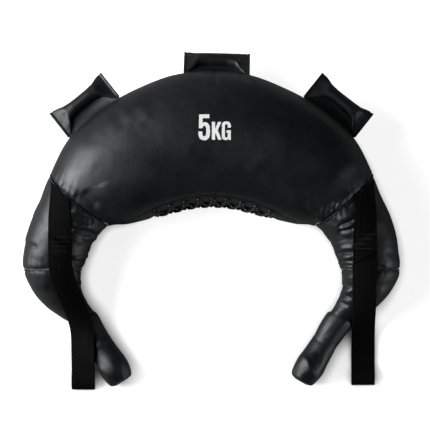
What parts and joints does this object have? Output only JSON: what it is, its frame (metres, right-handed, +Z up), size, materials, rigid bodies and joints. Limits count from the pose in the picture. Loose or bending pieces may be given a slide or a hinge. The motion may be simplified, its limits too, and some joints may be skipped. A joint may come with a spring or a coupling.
{
  "type": "bulgarian bag",
  "caption": "Crescent-shaped weighted training bag in black leather with tapered end grips, rim grips and long webbing hand straps.",
  "frame": {"origin": "bottom centre of the whole object's box, with the bag lying on its back on the floor", "axes": "+X to the bag's right hand side as the picture shows it, +Y towards the arch of the crescent, where the middle grip is, +Z up off the floor, towards the front of the bag"},
  "size_m": [0.519, 0.4663, 0.1301],
  "materials": {
    "black_leather": "satin, softly wrinkled",
    "black_webbing": "matt woven",
    "black_cord": "matt",
    "fibre": "matt",
    "sand_cloth": "matt",
    "foam": "matt",
    "hardwood": "satin"
  },
  "bodies": {
    "bag": {"centre_front_panel": "black_leather", "centre_back_panel": "black_leather", "centre_filling": "fibre", "centre_sand_pouch": "sand_cloth", "outer_rim_welt": "black_leather", "lacing_flap_front": "black_leather", "lacing_flap_back": "black_leather", "lace": "black_cord", "lacing_tongue": "black_leather", "left_upper_arm_cover": "black_leather", "left_lower_arm_cover": "black_leather", "left_diagonal_seam_welt": "black_leather", "left_elbow_seam_welt": "black_leather", "left_arm_filling": "fibre", "left_sand_pouch": "sand_cloth", "right_upper_arm_cover": "black_leather", "right_lower_arm_cover": "black_leather", "right_diagonal_seam_welt": "black_leather", "right_elbow_seam_welt": "black_leather", "right_arm_filling": "fibre", "right_sand_pouch": "sand_cloth"},
    "left_horn": {"left_horn_cover": "black_leather", "left_horn_core": "hardwood"},
    "left_anchor": {"left_strap_anchor": "black_webbing"},
    "left_loop": {"left_strap_loop": "black_webbing"},
    "right_horn": {"right_horn_cover": "black_leather", "right_horn_core": "hardwood"},
    "right_anchor": {"right_strap_anchor": "black_webbing"},
    "right_loop": {"right_strap_loop": "black_webbing"},
    "left_grip": {"left_grip_sleeve": "black_leather", "left_grip_core": "foam"},
    "centre_grip": {"centre_grip_sleeve": "black_leather", "centre_grip_core": "foam"},
    "right_grip": {"right_grip_sleeve": "black_leather", "right_grip_core": "foam"}
  },
  "joints": [
    {"name": "left_strap_lift", "type": "hinge", "parent": "bag", "child": "left_anchor", "pos_m": [-0.20697, 0.04159, 0.09678], "axis": [-0.6544, 0.6563, -0.3755], "range_deg": [0, 90]},
    {"name": "left_strap_fold", "type": "hinge", "parent": "left_anchor", "child": "left_loop", "pos_m": [-0.20546, -0.05304, 0.0933], "axis": [-0.8556, 0.4361, 0.2787], "range_deg": [0, 75]},
    {"name": "right_strap_lift", "type": "hinge", "parent": "bag", "child": "right_anchor", "pos_m": [0.20932, 0.0446, 0.09482], "axis": [-0.6238, -0.6735, 0.3966], "range_deg": [0, 90]},
    {"name": "right_strap_fold", "type": "hinge", "parent": "right_anchor", "child": "right_loop", "pos_m": [0.20833, -0.04997, 0.09465], "axis": [-0.8566, -0.4713, -0.2101], "range_deg": [0, 75]},
    {"name": "left_grip_swing", "type": "hinge", "parent": "bag", "child": "left_grip", "pos_m": [-0.16189, 0.14345, 0.05789], "axis": [0.7831, 0.6219, 0], "range_deg": [0, 60]},
    {"name": "centre_grip_swing", "type": "hinge", "parent": "bag", "child": "centre_grip", "pos_m": [0.0069, 0.20346, 0.06113], "axis": [0.9996, -0.0282, 0], "range_deg": [0, 90]},
    {"name": "right_grip_swing", "type": "hinge", "parent": "bag", "child": "right_grip", "pos_m": [0.16189, 0.14345, 0.05789], "axis": [0.7831, -0.6219, 0], "range_deg": [0, 60]},
    {"name": "left_horn_flex", "type": "hinge", "parent": "bag", "child": "left_horn", "pos_m": [-0.171, -0.14311, 0.01852], "axis": [0, 0, 1], "range_deg": [0, 20]},
    {"name": "right_horn_flex", "type": "hinge", "parent": "bag", "child": "right_horn", "pos_m": [0.171, -0.14311, 0.01852], "axis": [0, 0, -1], "range_deg": [-10, 20]}
  ]
}
